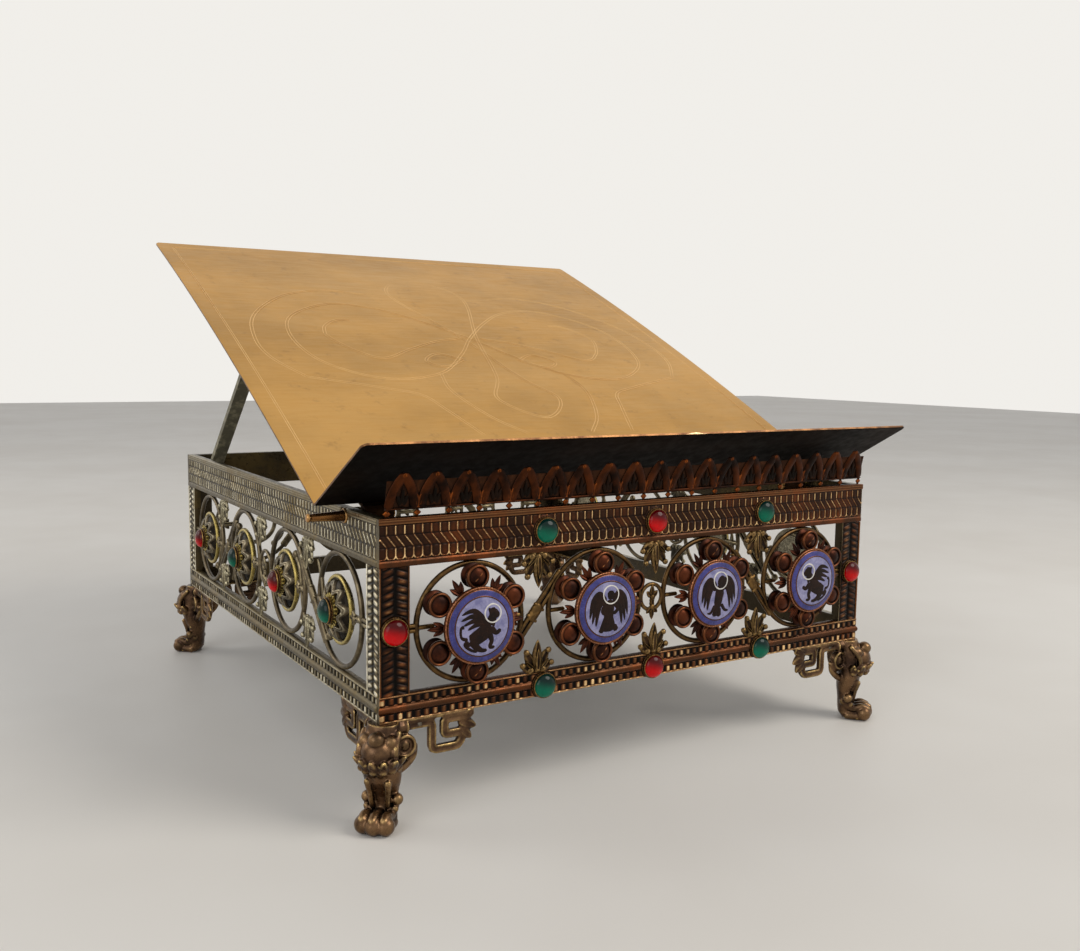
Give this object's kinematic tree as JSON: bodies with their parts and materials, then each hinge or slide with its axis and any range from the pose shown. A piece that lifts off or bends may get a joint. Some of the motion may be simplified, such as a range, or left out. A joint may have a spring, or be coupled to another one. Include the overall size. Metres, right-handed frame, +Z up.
{
  "type": "table-top lectern",
  "caption": "Antique brass table-top book stand: openwork frame on cast feet with enamel medallions and cabochons, and a tilting sheet desk with book ledge held by a prop.",
  "frame": {"origin": "on the surface that the feet stand on, under the middle of the whole outline", "axes": "+X along the front towards the reader's right, +Y away from the reader, +Z up"},
  "size_m": [0.336, 0.3634, 0.2818],
  "materials": {
    "dark_brass": "antique, dark reddish patina",
    "grey_brass": "antique, greyish olive patina",
    "cast_brass": "cast, dark patina with worn high spots",
    "sheet_brass": "satin, engraved and mottled",
    "screw_steel": "darkened",
    "blue_enamel": "opaque glossy enamel",
    "red_glass": "polished cabochon",
    "green_glass": "polished cabochon"
  },
  "bodies": {
    "base": {"rail_top_front": "dark_brass", "rail_top_back": "grey_brass", "rail_top_left": "grey_brass", "rail_top_right": "grey_brass", "rail_bottom_front": "dark_brass", "rail_bottom_back": "grey_brass", "rail_bottom_left": "grey_brass", "rail_bottom_right": "grey_brass", "post_front_left": "dark_brass", "post_front_right": "dark_brass", "post_back_left": "grey_brass", "post_back_right": "grey_brass", "scroll_front": "dark_brass", "scroll_back": "grey_brass", "scroll_left": "grey_brass", "scroll_right": "grey_brass", "leaves_front": "cast_brass", "leaves_left": "cast_brass", "leaves_right": "cast_brass", "petal_discs": "cast_brass", "medallion_bezels": "cast_brass", "medallion_1": "blue_enamel", "medallion_2": "blue_enamel", "medallion_3": "blue_enamel", "medallion_4": "blue_enamel", "bosses_left": "cast_brass", "bosses_right": "cast_brass", "collets_front": "cast_brass", "collets_sides": "cast_brass", "stones_red_front": "red_glass", "stones_green_front": "green_glass", "stones_red_sides": "red_glass", "stones_green_sides": "green_glass", "crest": "dark_brass", "foot_front_left": "cast_brass", "foot_front_right": "cast_brass", "foot_back_left": "cast_brass", "foot_back_right": "cast_brass", "foot_screws": "screw_steel", "hinge_rod": "cast_brass", "hinge_bracket_left": "cast_brass", "hinge_bracket_right": "cast_brass", "bracket_screws": "screw_steel", "prop_pivots": "screw_steel"},
    "desk": {"book_plate": "sheet_brass", "knuckles": "cast_brass", "rack_left": "cast_brass", "rack_right": "cast_brass"},
    "prop": {"prop_arm_left": "cast_brass", "prop_arm_right": "cast_brass", "prop_crossbar": "cast_brass"}
  },
  "joints": [
    {"name": "desk_tilt", "type": "hinge", "parent": "base", "child": "desk", "pos_m": [0, -0.12437, 0.1343], "axis": [1, 0, 0], "range_deg": [-24.8, 0]},
    {"name": "prop_swing", "type": "hinge", "parent": "base", "child": "prop", "pos_m": [0, 0.13913, 0.124], "axis": [1, 0, 0], "range_deg": [0, 87]}
  ],
  "couplings": [
    {"joint": "prop_swing", "follows": "desk_tilt", "ratio": -3.5}
  ]
}
